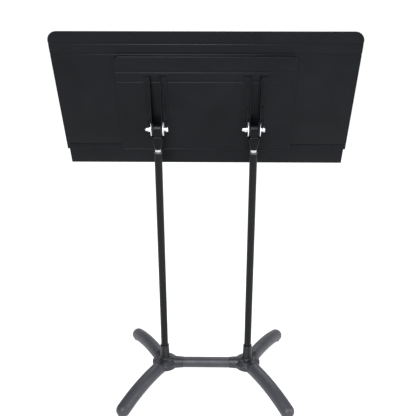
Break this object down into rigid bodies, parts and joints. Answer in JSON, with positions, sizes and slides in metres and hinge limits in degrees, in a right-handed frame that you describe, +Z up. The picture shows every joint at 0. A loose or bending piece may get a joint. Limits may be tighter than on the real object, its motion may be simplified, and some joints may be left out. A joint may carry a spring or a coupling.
{
  "type": "music stand",
  "caption": "Two-shaft conductor's music stand: wide tilting sheet-metal desk with a music ledge, telescoping shafts, and a base with a cross tube and splayed bent-tube legs.",
  "frame": {"origin": "on the floor, midway between the two shafts and between the front and back feet", "axes": "+Z up; +Y towards the player, so the back of the desk faces -Y; +X along the desk's width, to the right as seen from behind the desk"},
  "size_m": [0.81, 0.4344, 1.1156],
  "materials": {
    "desk_coat": "fine-texture satin black powder coat",
    "base_coat": "satin dark grey powder coat",
    "chrome_tube": "bright chrome plate",
    "zinc_steel": "bright zinc plate",
    "sleeve_plastic": "moulded, matt",
    "plug_plastic": "natural nylon",
    "friction_plastic": "acetal, matt",
    "cap_plastic": "moulded, satin",
    "glide_rubber": "matt"
  },
  "bodies": {
    "base": {"left_hub": "base_coat", "right_hub": "base_coat", "cross_tube": "base_coat", "front_left_leg": "base_coat", "front_right_leg": "base_coat", "back_left_leg": "base_coat", "back_right_leg": "base_coat", "front_left_end_cap": "cap_plastic", "front_right_end_cap": "cap_plastic", "back_left_end_cap": "cap_plastic", "back_right_end_cap": "cap_plastic", "front_left_glide": "glide_rubber", "front_right_glide": "glide_rubber", "back_left_glide": "glide_rubber", "back_right_glide": "glide_rubber", "left_outer_tube": "desk_coat", "right_outer_tube": "desk_coat", "left_clutch_sleeve": "sleeve_plastic", "right_clutch_sleeve": "sleeve_plastic", "left_shaft_plug": "zinc_steel", "right_shaft_plug": "zinc_steel", "shaft_bolts": "zinc_steel", "shaft_bolt_washers": "zinc_steel", "spigot_screws": "zinc_steel"},
    "lift": {"left_inner_tube": "chrome_tube", "right_inner_tube": "chrome_tube", "left_guide_plug": "plug_plastic", "right_guide_plug": "plug_plastic", "left_tilt_head": "desk_coat", "right_tilt_head": "desk_coat", "head_pins": "zinc_steel"},
    "desk": {"desk_panel": "desk_coat", "music_ledge": "desk_coat", "ledge_rivets": "desk_coat", "stiffener_plate": "desk_coat", "plate_rivets": "desk_coat", "left_outer_tilt_bracket": "desk_coat", "left_inner_tilt_bracket": "desk_coat", "right_inner_tilt_bracket": "desk_coat", "right_outer_tilt_bracket": "desk_coat", "bracket_rivets": "desk_coat", "left_pivot_bolt": "zinc_steel", "right_pivot_bolt": "zinc_steel", "fender_washers": "zinc_steel", "friction_washers": "friction_plastic", "lock_washers": "zinc_steel", "acorn_nuts": "zinc_steel"}
  },
  "joints": [
    {"name": "height_slide", "type": "slide", "parent": "base", "child": "lift", "axis": [0, 0, 1], "range_m": [-0.0062, 0.498]},
    {"name": "desk_tilt", "type": "hinge", "parent": "lift", "child": "desk", "pos_m": [0, 0, 0.845], "axis": [1, 0, 0], "range_deg": [-24.5, 72]}
  ]
}
